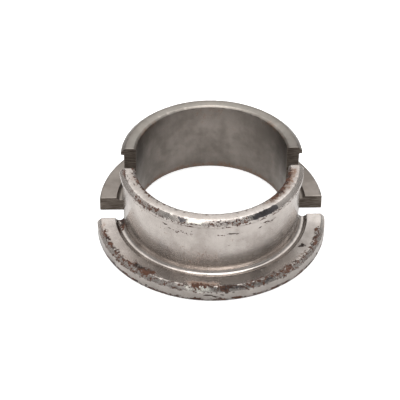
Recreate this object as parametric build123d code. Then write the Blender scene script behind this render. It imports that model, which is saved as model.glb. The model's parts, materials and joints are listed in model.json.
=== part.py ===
from build123d import *
from math import sqrt
import os

# A flanged bush of turned steel, in two halves that are each cut a little short of the axis.
# The halves stand on their flanges with a gap between their cut faces.
# Frame: +Z up along the bore, +Y from the front half to the rear half.
# Origin: on the floor, at the middle of the space the two halves take up.
# Lengths are in millimetres and angles in degrees.

# Sleeve and bore
bore_diameter = 60.0
sleeve_wall = 4.9
overall_height = 30.9

# Flange at the foot; the front half's is the larger and has the wider bevel
front_flange_diameter = 91.2
rear_flange_diameter = 90.2
flange_thickness = 6.1
front_flange_bevel = 1.6
rear_flange_bevel = 0.4
foot_break = 0.3

# Round-bottomed relief groove where the sleeve rises from the flange
groove_radius = 1.75
groove_depth = 1.15

# Retaining lip round the rim
lip_height = 3.05
lip_overhang = 1.2
lip_bevel_width = 1.75
lip_bevel_height = 1.5
under_lip_fillet = 0.4

# Edges of the bore
rim_bevel_width = 0.9
rim_bevel_height = 0.65
bore_foot_break = 0.3

# The cut: metal lost between the two halves, and the sharp edge taken off each cut face
cut_loss = 3.0
cut_edge_break = 0.2

# How the loose halves lie
halves_gap = 11.8
front_half_turn = 1.0
rear_half_shift = 0.3

# Worked out from the sizes above
bore_radius = bore_diameter / 2
sleeve_radius = bore_radius + sleeve_wall
front_flange_radius = front_flange_diameter / 2
rear_flange_radius = rear_flange_diameter / 2
lip_radius = sleeve_radius + lip_overhang
lip_underside = overall_height - lip_height
groove_centre = sleeve_radius + groove_radius
groove_floor = flange_thickness - groove_depth
groove_centre_height = groove_floor + groove_radius
groove_outer = groove_centre + sqrt(groove_radius**2 - (groove_radius - groove_depth) ** 2)
cut_offset = cut_loss / 2
axes_apart = halves_gap - cut_loss
front_axis_y = (front_flange_radius - rear_flange_radius - axes_apart) / 2
rear_axis_y = front_axis_y + axes_apart


def flange_and_lip_outline(flange_radius, flange_bevel):
    """Straight edges from the groove's outer rim, round the flange, up the bore and over the lip."""
    return Polyline(
        (groove_outer, flange_thickness),
        (flange_radius - flange_bevel, flange_thickness),
        (flange_radius, flange_thickness - flange_bevel),
        (flange_radius, foot_break),
        (flange_radius - foot_break, 0),
        (bore_radius + bore_foot_break, 0),
        (bore_radius, bore_foot_break),
        (bore_radius, overall_height - rim_bevel_height),
        (bore_radius + rim_bevel_width, overall_height),
        (lip_radius - lip_bevel_width, overall_height),
        (lip_radius, overall_height - lip_bevel_height),
        (lip_radius, lip_underside),
        (sleeve_radius + under_lip_fillet, lip_underside),
    )


def turned_section(flange_radius, flange_bevel):
    """Section of the ring on one side of its axis: x is the radius, y the height."""
    fillet_centre = (sleeve_radius + under_lip_fillet, lip_underside - under_lip_fillet)
    lip_fillet = CenterArc(fillet_centre, under_lip_fillet, 90, 90)
    sleeve_side = Line((sleeve_radius, lip_underside - under_lip_fillet), (sleeve_radius, groove_centre_height))
    groove = ThreePointArc(
        (sleeve_radius, groove_centre_height),
        (groove_centre, groove_floor),
        (groove_outer, flange_thickness),
    )
    return make_face([flange_and_lip_outline(flange_radius, flange_bevel), lip_fillet, sleeve_side, groove])


def half_bush(flange_radius, flange_bevel):
    """The half on the -Y side of the bore axis, with its cut face short of the axis."""
    ring = revolve(Plane.XZ * turned_section(flange_radius, flange_bevel), Axis.Z)
    cut_plane = Plane.XZ.offset(cut_offset)
    half = split(ring, bisect_by=cut_plane, keep=Keep.TOP)
    cut_faces = half.faces().filter_by(cut_plane)
    return chamfer(cut_faces.edges(), cut_edge_break)


def front_half():
    half = half_bush(front_flange_radius, front_flange_bevel)
    return Pos(0, front_axis_y, 0) * Rot(0, 0, front_half_turn) * half


def rear_half():
    half = half_bush(rear_flange_radius, rear_flange_bevel)
    return Pos(rear_half_shift, rear_axis_y, 0) * Rot(0, 0, 180) * half


os.makedirs("parts", exist_ok=True)
export_step(front_half(), "parts/front_half.step")
export_step(rear_half(), "parts/rear_half.step")
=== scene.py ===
import json
import math

import bpy
import numpy as np
from mathutils import Matrix, Vector, noise
from mathutils.geometry import tessellate_polygon


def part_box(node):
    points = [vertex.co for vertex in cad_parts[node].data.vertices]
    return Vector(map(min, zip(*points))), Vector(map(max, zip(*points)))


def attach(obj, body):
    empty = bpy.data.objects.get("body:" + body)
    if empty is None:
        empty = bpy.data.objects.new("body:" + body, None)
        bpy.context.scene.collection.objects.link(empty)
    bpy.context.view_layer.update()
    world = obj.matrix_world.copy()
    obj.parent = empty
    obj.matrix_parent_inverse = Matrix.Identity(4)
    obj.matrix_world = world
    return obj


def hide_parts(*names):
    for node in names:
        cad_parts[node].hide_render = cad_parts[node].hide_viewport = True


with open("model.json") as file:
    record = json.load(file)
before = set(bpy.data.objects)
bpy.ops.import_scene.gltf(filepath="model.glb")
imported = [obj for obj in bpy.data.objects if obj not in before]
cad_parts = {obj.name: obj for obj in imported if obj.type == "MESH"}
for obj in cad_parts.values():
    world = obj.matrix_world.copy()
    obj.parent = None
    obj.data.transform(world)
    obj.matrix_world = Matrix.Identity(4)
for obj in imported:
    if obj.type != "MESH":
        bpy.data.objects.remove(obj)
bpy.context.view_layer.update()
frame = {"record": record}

MM = 0.001

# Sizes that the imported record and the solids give.
MOUNTS = {mount["name"]: mount for mount in frame["record"]["mounts"]}
BORE_RADIUS = MOUNTS["front_seat"]["dims"]["r_mm"] * MM
FRONT_AXIS = MOUNTS["front_seat"]["pos_m"]
REAR_AXIS = MOUNTS["rear_seat"]["pos_m"]
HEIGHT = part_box("rear_half")[1].z
FRONT_FLANGE_RADIUS = FRONT_AXIS[1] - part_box("front_half")[0].y
REAR_FLANGE_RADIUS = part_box("rear_half")[1].y - REAR_AXIS[1]

# Section of the turned ring, as the solids have it.
SLEEVE_RADIUS = BORE_RADIUS + 4.9 * MM
FLANGE_TOP = 6.1 * MM
GROOVE_ROUND = 1.75 * MM
GROOVE_DEPTH = 1.15 * MM
GROOVE_RISE = math.asin(1 - GROOVE_DEPTH / GROOVE_ROUND)
LIP_RADIUS = SLEEVE_RADIUS + 1.2 * MM
LIP_UNDERSIDE = HEIGHT - 3.05 * MM
LIP_BEVEL_WIDTH = 1.75 * MM
LIP_BEVEL_HEIGHT = 1.5 * MM
UNDER_LIP_ROUND = 0.4 * MM
RIM_BEVEL_WIDTH = 0.9 * MM
RIM_BEVEL_HEIGHT = 0.65 * MM
BORE_FOOT_BREAK = 0.3 * MM
FOOT_BREAK = 0.3 * MM
FRONT_FLANGE_BEVEL = 1.6 * MM
REAR_FLANGE_BEVEL = 0.4 * MM
CUT_OFFSET = 1.5 * MM
CUT_ROUND = 0.15 * MM
FRONT_TURN = math.radians(1.0)

# How far the visible mesh rounds each kind of edge.
EDGE_ROUND = 0.2 * MM
LAND_EDGE_ROUND = 0.25 * MM
GROOVE_RIM_ROUND = 0.22 * MM
GROOVE_RIM_SHARE = 8  # degrees of the groove's arc that the rounding of its rim takes

# How finely the visible meshes are divided.
COLUMNS = 300
OUTLINE_STEP = 0.75 * MM
SUPPORT_GAP = 0.12 * MM
CORNER_POINTS = 4
UNDER_LIP_POINTS = 6
GROOVE_POINTS = 22
CUT_ROUND_RINGS = 3

# How deep the surface is worn, and how far the borders of the marks stray.
EDGE_REACH = 0.5 * MM
WAVE_DEPTH = 0.006 * MM
EDGE_WEAR = 0.03 * MM
NICK_DEPTH = 0.16 * MM
NICK_START = 0.1
STRAY_DEGREES = 5.0
STRAY_LENGTH = 0.9 * MM
STRAY_WAVES_AROUND = (13, 500)
STRAY_WAVES_ALONG = (17, 350)
PATCH_PLATEAU = 1.6

# Kinds of mark that the wear lists place one by one.
# Besides rust, film and pits, these are painted dark reflections, painted highlights, and grime together
# with painted shade.
MARKS = ("rust", "film", "painted_dark_reflection", "painted_highlight", "pits", "dirt_and_shade")


# ---------------------------------------------------------------- outline of the section

def arc(centre, radius, start, end, count):
    """Points on an arc in the section plane, angles in degrees from the +r direction."""
    angles = [math.radians(start + (end - start) * k / count) for k in range(count + 1)]
    return [(centre[0] + radius * math.cos(a), centre[1] + radius * math.sin(a)) for a in angles]


def rounded_corner(before, corner, after, radius):
    """Points that round one corner of the outline."""
    corner, before, after = Vector(corner), Vector(before), Vector(after)
    to_before = (before - corner).normalized()
    to_after = (after - corner).normalized()
    half_angle = to_before.angle(to_after) / 2
    setback = radius / math.tan(half_angle)
    centre = corner + (to_before + to_after).normalized() * radius / math.sin(half_angle)
    start = (corner + to_before * setback - centre) / radius
    end = (corner + to_after * setback - centre) / radius
    sweep = start.angle(end)
    points = []
    for k in range(CORNER_POINTS + 1):
        share = k / CORNER_POINTS
        spoke = start * math.sin((1 - share) * sweep) + end * math.sin(share * sweep)
        spoke /= math.sin(sweep)
        points.append(tuple(centre + spoke * radius))
    return points


def section_corners(flange_radius, flange_bevel):
    """The outline's corners, clockwise from the groove's rim: name, radius, height and rounding."""
    groove_outer = SLEEVE_RADIUS + GROOVE_ROUND * (1 + math.cos(GROOVE_RISE))
    return [
        ("groove_rim", groove_outer, FLANGE_TOP, GROOVE_RIM_ROUND),
        ("land_edge", flange_radius - flange_bevel, FLANGE_TOP, LAND_EDGE_ROUND),
        ("band_top", flange_radius, FLANGE_TOP - flange_bevel, LAND_EDGE_ROUND),
        ("band_foot", flange_radius, FOOT_BREAK, EDGE_ROUND),
        ("flange_foot", flange_radius - FOOT_BREAK, 0, EDGE_ROUND),
        ("bore_foot_out", BORE_RADIUS + BORE_FOOT_BREAK, 0, EDGE_ROUND),
        ("bore_foot", BORE_RADIUS, BORE_FOOT_BREAK, EDGE_ROUND),
        ("rim_low", BORE_RADIUS, HEIGHT - RIM_BEVEL_HEIGHT, EDGE_ROUND),
        ("rim_high", BORE_RADIUS + RIM_BEVEL_WIDTH, HEIGHT, EDGE_ROUND),
        ("lip_crest", LIP_RADIUS - LIP_BEVEL_WIDTH, HEIGHT, EDGE_ROUND),
        ("lip_side", LIP_RADIUS, HEIGHT - LIP_BEVEL_HEIGHT, EDGE_ROUND),
        ("lip_low", LIP_RADIUS, LIP_UNDERSIDE, EDGE_ROUND),
    ]


def outline(flange_radius, flange_bevel):
    """Closed outline: the points (radius, height) and the length along it at each named corner."""
    corners = section_corners(flange_radius, flange_bevel)
    groove_centre = (SLEEVE_RADIUS + GROOVE_ROUND, FLANGE_TOP - GROOVE_DEPTH + GROOVE_ROUND)
    round_centre = (SLEEVE_RADIUS + UNDER_LIP_ROUND, LIP_UNDERSIDE - UNDER_LIP_ROUND)
    under_lip = arc(round_centre, UNDER_LIP_ROUND, 90, 180, UNDER_LIP_POINTS)
    groove_end = 360 - GROOVE_RIM_SHARE - math.degrees(GROOVE_RISE)
    groove = arc(groove_centre, GROOVE_ROUND, 180, groove_end, GROOVE_POINTS)
    places = [(radius, height) for _, radius, height, _ in corners]
    points, marks = [], {}
    for k, (name, radius, height, edge_round) in enumerate(corners):
        before = groove[-1] if k == 0 else places[k - 1]
        after = under_lip[0] if k == len(corners) - 1 else places[k + 1]
        rounded = rounded_corner(before, (radius, height), after, edge_round)
        marks[name] = len(points) + CORNER_POINTS // 2
        points += rounded
    marks["under_lip"] = len(points) + UNDER_LIP_POINTS // 2
    points += under_lip
    marks["sleeve_foot"] = len(points)
    points += groove
    return points, marks


def resampled(points, marks):
    """The outline with long runs divided and support points by each corner."""
    out, new_index = [], {}
    for k, point in enumerate(points):
        following = points[(k + 1) % len(points)]
        new_index[k] = len(out)
        out.append(point)
        length = math.dist(point, following)
        if length < OUTLINE_STEP:
            continue
        near = SUPPORT_GAP / length
        inner = max(1, round(length / OUTLINE_STEP))
        shares = [near] + [near + (1 - 2 * near) * j / inner for j in range(1, inner)] + [1 - near]
        for share in shares:
            out.append(tuple(a + (b - a) * share for a, b in zip(point, following)))
    return np.array(out), {name: new_index[k] for name, k in marks.items()}


def outline_normals(points):
    """Outward normals of the clockwise outline."""
    ahead = np.roll(points, -1, axis=0) - points
    behind = points - np.roll(points, 1, axis=0)
    ahead /= np.linalg.norm(ahead, axis=1)[:, None]
    behind /= np.linalg.norm(behind, axis=1)[:, None]
    along = ahead + behind
    normals = np.stack([-along[:, 1], along[:, 0]], axis=1)
    return normals / np.linalg.norm(normals, axis=1)[:, None]


# ---------------------------------------------------------------- the half ring's mesh

class HalfRing:
    """One half of the bush as a fine lathe mesh, with the marks of its wear and its painted highlights,
    painted dark reflections and painted shade as mesh attributes.
    """

    def __init__(self, flange_radius, flange_bevel, axis, turn, wear_and_painted_light):
        raw, marks = outline(flange_radius, flange_bevel)
        self.points, self.marks = resampled(raw, marks)
        self.normals = outline_normals(self.points)
        steps = np.linalg.norm(np.diff(self.points, axis=0), axis=1)
        self.lengths = np.concatenate([[0], np.cumsum(steps)])
        self.axis = axis
        self.turn = turn
        self.wear_and_painted_light = wear_and_painted_light

    def corner_length(self, name):
        """Length along the outline at a named corner."""
        return self.lengths[self.marks[name]]

    def columns(self):
        """Each column's outline points and their angle from the middle of the half, in order."""
        edge = CUT_OFFSET + CUT_ROUND
        columns = []
        for k in range(1, CUT_ROUND_RINGS + 1):
            lean = math.radians(90 * k / CUT_ROUND_RINGS)
            inset = CUT_ROUND * (1 - math.cos(lean))
            depth = edge - CUT_ROUND * math.sin(lean)
            points = self.points - self.normals * inset
            columns.append((points, np.arccos(depth / points[:, 0])))
        ends = columns[::-1]
        limit = np.arccos(edge / self.points[:, 0])
        body = [(self.points, limit * share) for share in np.linspace(-1, 1, COLUMNS)]
        first = [(points, -angle) for points, angle in ends]
        last = [(points, angle) for points, angle in ends[::-1]]
        return first + body + last

    def build(self, name):
        """The half ring's object, with its marks as attributes of the mesh."""
        columns = self.columns()
        radius = np.concatenate([points[:, 0] for points, _ in columns])
        angle = np.concatenate([angles for _, angles in columns])
        length = np.tile(self.lengths, len(columns))
        faces = self.faces(columns)
        mesh = bpy.data.meshes.new(name)
        mesh.from_pydata(self.places(columns, angle, length).tolist(), [], faces)
        mesh.validate()
        smooth = np.array([len(face) == 4 for face in faces])
        mesh.polygons.foreach_set("use_smooth", smooth)
        turned = np.stack([angle * SLEEVE_RADIUS, length, radius], axis=1)
        attribute = mesh.attributes.new("turned", "FLOAT_VECTOR", "POINT")
        attribute.data.foreach_set("vector", turned.astype(np.float32).ravel())
        for mark, values in self.mark_values(angle, length).items():
            attribute = mesh.attributes.new(mark, "FLOAT", "POINT")
            attribute.data.foreach_set("value", values.astype(np.float32))
        return bpy.data.objects.new(name, mesh)

    def places(self, columns, angle, length):
        """Where each point stands in the frame, with its wear."""
        radius = np.concatenate([points[:, 0] for points, _ in columns])
        height = np.concatenate([points[:, 1] for points, _ in columns])
        normal = np.tile(self.normals, (len(columns), 1))
        push = self.wear_depth(angle, length)
        radius = radius + normal[:, 0] * push
        height = np.clip(height + normal[:, 1] * push, 0, HEIGHT)
        x = radius * np.sin(angle)
        y = -radius * np.cos(angle)
        c, s = math.cos(self.turn), math.sin(self.turn)
        return np.stack([x * c - y * s + self.axis[0], x * s + y * c + self.axis[1], height], axis=1)

    def faces(self, columns):
        """Quads between the columns, and triangles over the two cut faces."""
        count = len(self.points)
        faces = []
        for j in range(len(columns) - 1):
            for i in range(count):
                a, b = j * count + i, j * count + (i + 1) % count
                faces.append((a, b, b + count, a + count))
        last = (len(columns) - 1) * count
        for a, b, c in self.cap_triangles(columns[0][0]):
            faces.append((c, b, a))
            faces.append((last + a, last + b, last + c))
        return faces

    def mark_values(self, angle, length):
        """Every attribute that the steel reads, by name."""
        wander = self.patch_wander(angle, length)
        marks = {mark: self.patches(mark, angle, length, wander) for mark in MARKS}
        marks["cut"] = np.zeros(len(angle))
        marks["cut"][:len(self.points)] = 1
        marks["cut"][-len(self.points):] = 1
        return marks

    def cap_triangles(self, points):
        """Triangles of a cut face, wound as the outline runs."""
        return tessellate_polygon([[Vector((radius, height, 0)) for radius, height in points]])

    def edge_nearness(self, length):
        """1 on the worn edges, falling to 0 at EDGE_REACH from them."""
        nearness = np.zeros(len(length))
        for name in self.wear_and_painted_light["worn_edges"]:
            away = np.abs(length - self.corner_length(name)) / EDGE_REACH
            nearness = np.maximum(nearness, np.clip(1 - away, 0, 1))
        return nearness

    def wear_depth(self, angle, length):
        """How far each point stands back from the outline: a faint waviness, and nicks on the edges."""
        push = np.zeros(len(angle))
        edge = self.edge_nearness(length)
        seed = self.wear_and_painted_light["seed"]
        for k in range(len(angle)):
            u, v = angle[k] * SLEEVE_RADIUS / MM, length[k] / MM
            wave = noise.noise(Vector((u * 0.11, v * 0.13, seed)))
            push[k] = -WAVE_DEPTH * (1 + wave)
            if edge[k] > 0:
                large = noise.noise(Vector((u * 0.9, seed, 3.7)))
                small = noise.noise(Vector((u * 2.7, v, seed)))
                nick = max(0.0, large + 0.5 * small - NICK_START)
                push[k] -= edge[k] * (EDGE_WEAR + NICK_DEPTH * nick)
        return push

    def patch_wander(self, angle, length):
        """How far the patches' borders stray at each point: degrees around, metres along the outline."""
        def waves(per_radian, per_metre, seed):
            return np.array([noise.noise(Vector((a * per_radian, v * per_metre, seed)))
                             for a, v in zip(angle, length)])

        seed = self.wear_and_painted_light["seed"] + 20
        around = waves(*STRAY_WAVES_AROUND, seed)
        along = waves(*STRAY_WAVES_ALONG, seed + 5)
        return around * STRAY_DEGREES, along * STRAY_LENGTH

    def patches(self, mark, angle, length, wander):
        """Strength of one kind of mark at each point, from the listed patches."""
        values = np.zeros(len(angle))
        degrees = np.degrees(angle) + wander[0]
        place = length + wander[1]
        for corner, offset, reach, centre, half_width, strength in self.wear_and_painted_light[mark]:
            middle = self.corner_length(corner) + offset * MM
            across = np.abs(place - middle) / (reach * MM)
            along = np.abs(degrees - centre) / half_width
            shape = np.clip(1 - across ** 2, 0, 1) * np.clip(PATCH_PLATEAU * (1 - along ** 2), 0, 1)
            values = np.maximum(values, strength * shape)
        return values


# Marks of use, and painted highlights, painted dark reflections and painted shade. Each patch is (corner,
# offset mm, reach mm, centre degrees, half width degrees, strength).
# The offset runs along the outline, clockwise: on the land towards the bevel, on the wall downwards.
# Degrees run from the middle of the half, 0 at its front, positive to the right as seen from outside.
FRONT_WEAR_AND_PAINTED_LIGHT = {
    "seed": 4.2,
    "worn_edges": ("land_edge", "band_top", "rim_low", "rim_high", "lip_crest", "lip_side", "lip_low"),
    "rust": [
        ("rim_low", -0.1, 0.8, 0, 95, 0.70),
        ("rim_high", -0.3, 1.5, 63, 24, 0.84),
        ("rim_high", 0.2, 1.6, 52, 9, 0.85),
        ("rim_high", -0.4, 1.4, -63, 30, 0.70),
        ("rim_high", 0.3, 0.9, 0, 95, 0.34),
        ("lip_crest", 0.2, 1.3, -80, 12, 0.55),
        ("lip_crest", 0.9, 1.3, -52, 18, 0.44),
        ("lip_side", -0.4, 1.1, -48, 13, 0.50),
        ("lip_side", 0.2, 0.8, 0, 95, 0.42),
        ("lip_side", -1.2, 1.3, 8, 17, 0.42),
        ("lip_low", 0, 0.5, 0, 95, 0.50),
        ("land_edge", -0.1, 1.7, -66, 16, 0.74),
        ("land_edge", -1.0, 2.1, -41, 9, 0.98),
        ("land_edge", -0.2, 1.7, -6, 11, 0.56),
        ("land_edge", 0.9, 1.7, 6, 8, 1.0),
        ("land_edge", 0.0, 1.8, 30, 24, 0.56),
        ("land_edge", -0.1, 1.9, 66, 12, 0.72),
        ("land_edge", -3.6, 1.3, 58, 2.8, 1.2),
        ("land_edge", 0.8, 1.7, 0, 95, 0.44),
        ("band_top", 0.1, 1.0, 0, 95, 0.42),
        ("band_foot", -0.3, 1.2, 0, 95, 0.72),
        ("sleeve_foot", 1.2, 2.4, -84, 6, 1.0),
        ("under_lip", 4.2, 0.9, -19, 7, 0.46),
        ("under_lip", 4.0, 0.6, 8, 12, 0.36),
        ("under_lip", 3.2, 1.3, 35, 6, 0.46),
        ("sleeve_foot", -10.0, 8.0, 82, 2.2, 0.75),
    ],
    "film": [
        ("land_edge", -1.1, 2.2, -6, 11, 0.95),
        ("land_edge", -0.4, 1.8, -58, 34, 0.5),
        ("land_edge", -0.4, 1.8, 50, 30, 0.5),
        ("rim_high", 0.7, 2.2, 60, 30, 1.0),
        ("rim_high", 0.5, 2.0, -60, 30, 0.45),
        ("sleeve_foot", -5.0, 5.0, -12, 24, 0.3),
        ("sleeve_foot", -3.0, 5.0, -72, 22, 0.2),
        ("sleeve_foot", -3.0, 5.0, 72, 22, 0.2),
    ],
    # Painted dark reflections: dark patches on the lip bevel and the flange bevel that stand for dark
    # things mirrored there.
    "painted_dark_reflection": [
        ("lip_side", -1.2, 1.3, 8, 16, 0.50),
        ("lip_side", -1.2, 1.3, -21.2, 3.0, 1.0),
        ("lip_side", -1.2, 1.6, 34.2, 10.5, 1.0),
        ("land_edge", 1.1, 1.3, 17, 20, 0.55),
    ],
    # Painted highlights: bright patches on the lip bevel and the flange bevel that stand for light
    # mirrored there.
    "painted_highlight": [
        ("lip_side", -1.2, 1.2, -13.3, 5.5, 1.0),
        ("land_edge", 1.1, 1.2, -8, 6, 0.9),
    ],
    "pits": [
        ("under_lip", 4.4, 1.1, -19, 8, 1.25),
        ("under_lip", 4.2, 0.9, 8, 13, 0.95),
        ("under_lip", 3.0, 1.8, 35, 6, 1.2),
        ("under_lip", 3.0, 2.5, -28, 8, 0.8),
        ("band_top", 1.8, 2.2, 2, 8, 1.3),
        ("rim_high", 1.6, 2.5, -75, 12, 0.7),
    ],
    # Grime together with painted shade: darkening under the lip, at the groove's rim, at the foot of the
    # wall towards the ends and in patches on the flange and the rim.
    "dirt_and_shade": [
        ("under_lip", 0.0, 0.5, 0, 95, 0.8),
        ("groove_rim", -0.1, 0.5, 0, 95, 0.5),
        ("sleeve_foot", -2.0, 5.0, -72, 20, 0.75),
        ("sleeve_foot", -2.0, 5.0, 72, 20, 0.75),
        ("band_top", 2.5, 3.2, -70, 16, 0.6),
        ("land_edge", 1.1, 1.3, 16, 24, 0.6),
        ("land_edge", -3.5, 5.5, 58, 26, 0.42),
        ("band_top", 2.6, 5.0, 25, 90, 0.40),
        ("rim_high", 0.9, 1.6, 62, 26, 0.35),
        ("rim_high", 1.0, 2.0, 0, 130, 0.16),
    ],
}
REAR_WEAR_AND_PAINTED_LIGHT = {
    "seed": 9.6,
    "worn_edges": ("land_edge", "rim_low", "rim_high", "lip_crest", "lip_side", "lip_low"),
    "rust": [
        ("rim_low", 0.2, 1.0, -78, 14, 0.3),
        ("rim_low", 0.2, 1.0, 78, 14, 0.3),
    ],
    "film": [
        ("rim_low", -2.0, 6.0, 0, 12, 0.35),
        ("bore_foot", 0.5, 2.2, 0, 95, 0.7),
        ("rim_low", -0.2, 1.6, -70, 30, 0.6),
        ("rim_low", -0.2, 1.6, 70, 30, 0.6),
    ],
    "painted_dark_reflection": [],
    # Painted highlight: a faint bright sheen over the rim.
    "painted_highlight": [
        ("rim_high", 1.0, 2.6, 10, 110, 0.14),
    ],
    "pits": [
        ("bore_foot", 5.0, 2.0, 2, 4, 0.6),
    ],
    # Grime together with painted shade: the bore wall darker towards the cut ends and faintly all around.
    "dirt_and_shade": [
        ("rim_low", -5.0, 13.0, -86, 28, 0.75),
        ("rim_low", -5.0, 13.0, 86, 28, 0.75),
        ("rim_low", -1.0, 8.0, 0, 95, 0.25),
    ],
}


# ---------------------------------------------------------------- materials

class Nodes:
    """Short calls for building a node tree."""

    def __init__(self, tree):
        self.tree = tree
        tree.nodes.clear()

    def add(self, kind, **settings):
        node = self.tree.nodes.new(kind)
        for name, value in settings.items():
            setattr(node, name, value)
        return node

    def link(self, source, target):
        self.tree.links.new(source, target)

    def put(self, value, socket):
        """Link a socket, or set a constant."""
        if isinstance(value, bpy.types.NodeSocket):
            self.link(value, socket)
        else:
            socket.default_value = value

    def attribute(self, name, output="Fac"):
        """A mesh attribute, as a number or as a vector."""
        return self.add("ShaderNodeAttribute", attribute_name=name).outputs[output]

    def math(self, operation, a, b=0.0):
        node = self.add("ShaderNodeMath", operation=operation)
        self.put(a, node.inputs[0])
        self.put(b, node.inputs[1])
        return node.outputs[0]

    def stretch(self, vector, scale):
        """A vector with each component scaled by itself."""
        node = self.add("ShaderNodeVectorMath", operation="MULTIPLY")
        self.put(vector, node.inputs[0])
        node.inputs[1].default_value = scale
        return node.outputs[0]

    def noise(self, vector, scale, detail=4.0, roughness=0.55):
        node = self.add("ShaderNodeTexNoise")
        self.put(vector, node.inputs["Vector"])
        node.inputs["Scale"].default_value = scale
        node.inputs["Detail"].default_value = detail
        node.inputs["Roughness"].default_value = roughness
        return node.outputs["Fac"]

    def between(self, value, low, high, out_low=0.0, out_high=1.0):
        """Smooth step of a value from one range to another."""
        node = self.add("ShaderNodeMapRange", interpolation_type="SMOOTHSTEP")
        self.put(value, node.inputs["Value"])
        limits = {"From Min": low, "From Max": high, "To Min": out_low, "To Max": out_high}
        for name, number in limits.items():
            self.put(number, node.inputs[name])
        return node.outputs["Result"]

    def mix(self, factor, a, b):
        """One colour turning into another."""
        node = self.add("ShaderNodeMix", data_type="RGBA")
        self.put(factor, node.inputs["Factor"])
        self.put(a, node.inputs["A"])
        self.put(b, node.inputs["B"])
        return node.outputs["Result"]

    def blend(self, factor, a, b):
        """One number turning into another."""
        node = self.add("ShaderNodeMix", data_type="FLOAT")
        self.put(factor, node.inputs["Factor"])
        self.put(a, node.inputs["A"])
        self.put(b, node.inputs["B"])
        return node.outputs["Result"]

    def bump(self, height, strength, distance, normal=None):
        """A normal with the relief of a height, on top of another normal."""
        node = self.add("ShaderNodeBump")
        node.inputs["Strength"].default_value = strength
        node.inputs["Distance"].default_value = distance
        self.put(height, node.inputs["Height"])
        if normal is not None:
            self.link(normal, node.inputs["Normal"])
        return node.outputs["Normal"]


def rgb(red, green, blue):
    return (red, green, blue, 1.0)


# Colours of the marks on the steel.
RUST_DARK = rgb(0.018, 0.011, 0.009)
RUST_PALE = rgb(0.115, 0.050, 0.030)
FILM_BROWN = rgb(0.25, 0.145, 0.095)
# Colour of grime together with painted shade.
DIRT_AND_SHADE = rgb(0.070, 0.062, 0.055)
# Colour of the painted dark reflections.
PAINTED_DARK_REFLECTION = rgb(0.085, 0.080, 0.088)
# Colour of the painted highlights.
PAINTED_HIGHLIGHT = rgb(0.92, 0.90, 0.82)
PIT_DARK = rgb(0.045, 0.032, 0.026)
SAWN_DARK = rgb(0.085, 0.068, 0.055)
SAWN_PALE = rgb(0.20, 0.17, 0.145)


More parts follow.
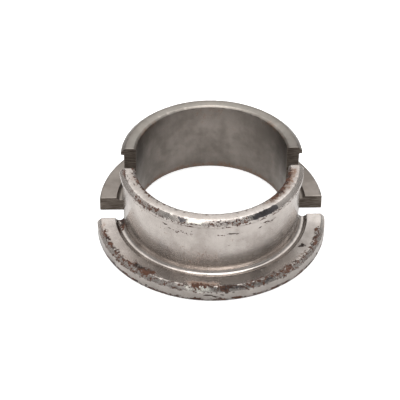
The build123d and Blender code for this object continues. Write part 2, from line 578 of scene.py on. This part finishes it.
def turned_steel(name, pale, deep, smooth, rough, brushed, pit_cut, mottling):
    """Turned steel that has rusted, with painted highlights, painted dark reflections and painted shade
    laid into its colour.

    pale and deep are its two tones, smooth and rough its roughness range, brushed its anisotropy,
    pit_cut the noise level above which pits show and mottling the softness between the tones.
    """
    material = bpy.data.materials.new(name)
    material.use_nodes = True
    n = Nodes(material.node_tree)
    place = n.add("ShaderNodeTexCoord").outputs["Object"]
    turned = n.attribute("turned", "Vector")

    # Noises of several sizes, and the two tones of the bare steel.
    mottle = n.noise(place, 260, 5, 0.6)
    cloud = n.noise(place, 70, 4, 0.5)
    flecks = n.noise(place, 1500, 4, 0.7)
    crumbs = n.noise(place, 750, 5, 0.7)
    streak = n.noise(n.stretch(turned, (170, 14, 14)), 1.0, 3, 0.5)
    tone = n.math("ADD", n.math("MULTIPLY", cloud, 0.5), n.math("MULTIPLY", mottle, 0.3))
    tone = n.math("ADD", tone, n.math("MULTIPLY", streak, 0.2))
    steel = n.mix(n.between(tone, 0.5 - mottling, 0.5 + mottling), deep, pale)

    # Where each kind of mark shows: its placed strength with a ragged border.
    ragged = n.math("ADD", n.math("MULTIPLY", mottle, 1.6), n.math("MULTIPLY", crumbs, 2.1))
    ragged = n.math("ADD", ragged, n.math("MULTIPLY", flecks, 1.4))
    ragged = n.math("SUBTRACT", ragged, 2.55)
    rust_room = n.between(n.attribute("rust"), 0.05, 0.35)
    rust_edge = n.math("ADD", n.attribute("rust"), n.math("MULTIPLY", ragged, rust_room))
    rust = n.between(rust_edge, 0.44, 0.64)
    film_edge = n.math("ADD", n.attribute("film"), n.math("MULTIPLY", ragged, 0.8))
    film = n.between(film_edge, 0.2, 1.1)
    # Painted dark reflections, with a crumbly border.
    dark_reflection_crumbs = n.math("MULTIPLY", n.math("SUBTRACT", crumbs, 0.5), 1.2)
    dark_reflection_edge = n.math("ADD", n.attribute("painted_dark_reflection"), dark_reflection_crumbs)
    painted_dark_reflection = n.between(dark_reflection_edge, 0.40, 0.55)
    pit_spots = n.math("ADD", n.noise(n.stretch(turned, (480, 1300, 1300)), 1.0, 2, 0.4),
                       n.math("MULTIPLY", n.attribute("pits"), 0.16))
    pits = n.between(pit_spots, pit_cut, pit_cut + 0.04)

    # Colour, from the bare steel up to the rust, with grime and painted shade, painted dark reflections
    # and painted highlights laid in along the way.
    rust_shade = n.math("ADD", n.math("MULTIPLY", mottle, 0.6), n.math("MULTIPLY", flecks, 0.4))
    rust_tone = n.mix(n.between(rust_shade, 0.42, 0.60), RUST_DARK, RUST_PALE)
    filmed = n.mix(n.math("MULTIPLY", film, 0.8), steel, FILM_BROWN)
    # Grime and painted shade darken the colour.
    dirt_and_shade_share = n.math("MULTIPLY", n.attribute("dirt_and_shade"), n.between(cloud, 0.2, 0.6))
    dirtied_and_shaded = n.mix(dirt_and_shade_share, filmed, DIRT_AND_SHADE)
    # Painted dark reflections laid over the colour.
    with_dark_reflection = n.mix(n.math("MULTIPLY", painted_dark_reflection, 0.85), dirtied_and_shaded, PAINTED_DARK_REFLECTION)
    # Painted highlights laid over the colour.
    highlighted = n.mix(n.attribute("painted_highlight"), with_dark_reflection, PAINTED_HIGHLIGHT)
    pitted = n.mix(n.math("MULTIPLY", pits, 0.9), highlighted, PIT_DARK)
    cut_lines = n.noise(n.stretch(place, (260, 260, 3200)), 1.0, 3, 0.6)
    cut_tone = n.mix(n.between(cut_lines, 0.35, 0.65), SAWN_DARK, SAWN_PALE)
    faced = n.mix(n.attribute("cut"), pitted, cut_tone)
    colour = n.mix(rust, faced, rust_tone)

    # Roughness, and fine relief: turning lines, mottling, raised rust and sunk pits.
    roughness = n.blend(n.between(tone, 0.35, 0.65), rough, smooth)
    roughness = n.blend(film, roughness, 0.5)
    roughness = n.blend(n.attribute("cut"), roughness, 0.5)
    roughness = n.blend(rust, roughness, 0.85)

    rings = n.noise(n.stretch(turned, (20, 5200, 5200)), 1.0, 2, 0.5)
    normal = n.bump(rings, 0.10, 0.00005)
    normal = n.bump(mottle, 0.05, 0.00006, normal)
    normal = n.bump(n.math("MULTIPLY", rust, crumbs), 0.8, 0.0004, normal)
    normal = n.bump(n.math("MULTIPLY", pits, -1.0), 0.6, 0.0003, normal)

    steel_shader = n.add("ShaderNodeBsdfPrincipled")
    n.put(colour, steel_shader.inputs["Base Color"])
    n.put(n.math("SUBTRACT", 1.0, n.math("MULTIPLY", rust, 0.95)), steel_shader.inputs["Metallic"])
    n.put(roughness, steel_shader.inputs["Roughness"])
    n.put(normal, steel_shader.inputs["Normal"])
    steel_shader.inputs["Anisotropic"].default_value = brushed
    steel_shader.inputs["Anisotropic Rotation"].default_value = 0.25
    around = n.add("ShaderNodeTangent", direction_type="RADIAL", axis="Z")
    n.link(around.outputs["Tangent"], steel_shader.inputs["Tangent"])
    output = n.add("ShaderNodeOutputMaterial")
    n.link(steel_shader.outputs["BSDF"], output.inputs["Surface"])
    return material


def add_half(name, node, flange_radius, bevel, axis, turn, wear_and_painted_light, material):
    """Build one half, give it its steel and let it stand for its node."""
    ring = HalfRing(flange_radius, bevel, axis, turn, wear_and_painted_light).build(name)
    bpy.context.scene.collection.objects.link(ring)
    ring.data.materials.append(material)
    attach(ring, "root")
    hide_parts(node)
    return ring


front_steel = turned_steel("front_steel", pale=rgb(0.56, 0.515, 0.483), deep=rgb(0.42, 0.378, 0.350),
                           smooth=0.16, rough=0.26, brushed=0.85, pit_cut=0.755, mottling=0.12)
rear_steel = turned_steel("rear_steel", pale=rgb(0.285, 0.254, 0.230), deep=rgb(0.190, 0.167, 0.148),
                          smooth=0.32, rough=0.44, brushed=0.3, pit_cut=0.79, mottling=0.14)
add_half("front_half_steel", "front_half", FRONT_FLANGE_RADIUS, FRONT_FLANGE_BEVEL,
         FRONT_AXIS, FRONT_TURN, FRONT_WEAR_AND_PAINTED_LIGHT, front_steel)
add_half("rear_half_steel", "rear_half", REAR_FLANGE_RADIUS, REAR_FLANGE_BEVEL,
         REAR_AXIS, math.pi, REAR_WEAR_AND_PAINTED_LIGHT, rear_steel)


# ---------------------------------------------------------------- floor, light and camera

FLOOR_REACH = 4.0
FLOOR_DROP = 0.05 * MM
FLOOR_TO_CAMERA = 0.60
FLOOR_TO_MIRRORS = 0.14

# Panels and dark cards in the sky, laid over each other in this order:
# left bearing, right bearing, lower and upper height, softness in degrees, brightness.
SKY_CARDS = (
    (-72, -58, 0.70, 0.82, 2, 0.2),
    (-41, -21, 0.74, 0.90, 2, 1.35),
    (-58, -41, 0.76, 0.90, 5, 0.55),
    (-21, 52, 0.72, 0.84, 2, 0.25),
    (45, 86, 0.66, 0.84, 2, 0.12),
    (-50, -44, 0.50, 0.70, 2, 0.9),
    (44, 50, 0.50, 0.66, 2, 0.9),
)
CARD_SOFT_RISE = 0.02


def build_floor():
    """A wide pale table top."""
    far = FLOOR_REACH
    corners = [(-far, -far, 0), (far, -far, 0), (far, far, 0), (-far, far, 0)]
    mesh = bpy.data.meshes.new("floor")
    mesh.from_pydata(corners, [], [(0, 1, 2, 3)])
    floor = bpy.data.objects.new("floor", mesh)
    floor.location.z = -FLOOR_DROP
    bpy.context.scene.collection.objects.link(floor)
    material = bpy.data.materials.new("table_white")
    material.use_nodes = True
    n = Nodes(material.node_tree)
    paper = n.add("ShaderNodeBsdfDiffuse")
    paper.inputs["Color"].default_value = rgb(0.8, 0.8, 0.8)
    glow = n.add("ShaderNodeEmission")
    path = n.add("ShaderNodeLightPath")
    seen = n.math("MULTIPLY", path.outputs["Is Camera Ray"], FLOOR_TO_CAMERA)
    mirrored = n.math("MULTIPLY", path.outputs["Is Glossy Ray"], FLOOR_TO_MIRRORS)
    n.put(n.math("ADD", seen, mirrored), glow.inputs["Strength"])
    both = n.add("ShaderNodeAddShader")
    n.link(paper.outputs[0], both.inputs[0])
    n.link(glow.outputs[0], both.inputs[1])
    output = n.add("ShaderNodeOutputMaterial")
    n.link(both.outputs[0], output.inputs["Surface"])
    mesh.materials.append(material)


def sky_card(n, bearing, height, card):
    """1 inside one card of the sky, between two bearings and two heights, and 0 outside it."""
    left, right, low, high, soft_turn, _ = card
    rise = CARD_SOFT_RISE
    sides = n.math("MULTIPLY", n.between(bearing, left - soft_turn, left + soft_turn),
                   n.between(bearing, right - soft_turn, right + soft_turn, 1.0, 0.0))
    ends = n.math("MULTIPLY", n.between(height, low - rise, low + rise),
                  n.between(height, high - rise, high + rise, 1.0, 0.0))
    return n.math("MULTIPLY", sides, ends)


def build_world():
    """The studio: bright overhead, pale behind and dim in front, with panels and dark cards.

    Bearings are in degrees, 0 at the front and positive to the right. Heights are the
    direction's Z, 0 at the horizon and 1 overhead.
    """
    world = bpy.data.worlds.new("studio")
    world.use_nodes = True
    bpy.context.scene.world = world
    n = Nodes(world.node_tree)
    direction = n.add("ShaderNodeSeparateXYZ")
    n.link(n.add("ShaderNodeTexCoord").outputs["Generated"], direction.inputs[0])
    east, north, height = direction.outputs["X"], direction.outputs["Y"], direction.outputs["Z"]
    bearing = n.math("DEGREES", n.math("ARCTAN2", east, n.math("MULTIPLY", north, -1.0)))

    behind = n.between(n.math("ABSOLUTE", bearing), 80, 140)
    back_level = n.between(height, 0.3, 1.0, 0.35, 2.5)
    front_level = n.between(height, 0.87, 0.96, 0.45, 4.8)
    for card in SKY_CARDS:
        front_level = n.blend(sky_card(n, bearing, height, card), front_level, card[-1])
    level = n.blend(behind, front_level, back_level)
    level = n.blend(n.add("ShaderNodeLightPath").outputs["Is Camera Ray"], level, 1.0)
    background = n.add("ShaderNodeBackground")
    background.inputs["Color"].default_value = rgb(1.0, 0.995, 0.985)
    n.link(level, background.inputs["Strength"])
    output = n.add("ShaderNodeOutputWorld")
    n.link(background.outputs[0], output.inputs["Surface"])


AIM = Vector((-4.55, -6.75, 15.0)) * MM
CAMERA_AZIMUTH = math.radians(-1.74)
CAMERA_ELEVATION = math.radians(38.77)
CAMERA_ROLL = math.radians(0.51)
CAMERA_DISTANCE = 0.6444
LENS = 146.5
SENSOR_WIDTH = 36.0


def build_camera():
    """The photograph's view: from above the front, a little to the left."""
    level_away = math.cos(CAMERA_ELEVATION)
    away = Vector((math.sin(CAMERA_AZIMUTH) * level_away, -math.cos(CAMERA_AZIMUTH) * level_away,
                   math.sin(CAMERA_ELEVATION)))
    level_right = Vector((0, 0, 1)).cross(away).normalized()
    level_up = away.cross(level_right)
    right = level_right * math.cos(CAMERA_ROLL) + level_up * math.sin(CAMERA_ROLL)
    up = away.cross(right)
    turn = Matrix((right, up, away)).transposed().to_4x4()
    camera_data = bpy.data.cameras.new("camera")
    camera_data.sensor_width = SENSOR_WIDTH
    camera_data.lens = LENS
    camera = bpy.data.objects.new("camera", camera_data)
    camera.matrix_world = Matrix.Translation(AIM + away * CAMERA_DISTANCE) @ turn
    bpy.context.scene.collection.objects.link(camera)
    bpy.context.scene.camera = camera


build_floor()
build_world()
build_camera()
bpy.context.scene.view_settings.view_transform = "Standard"
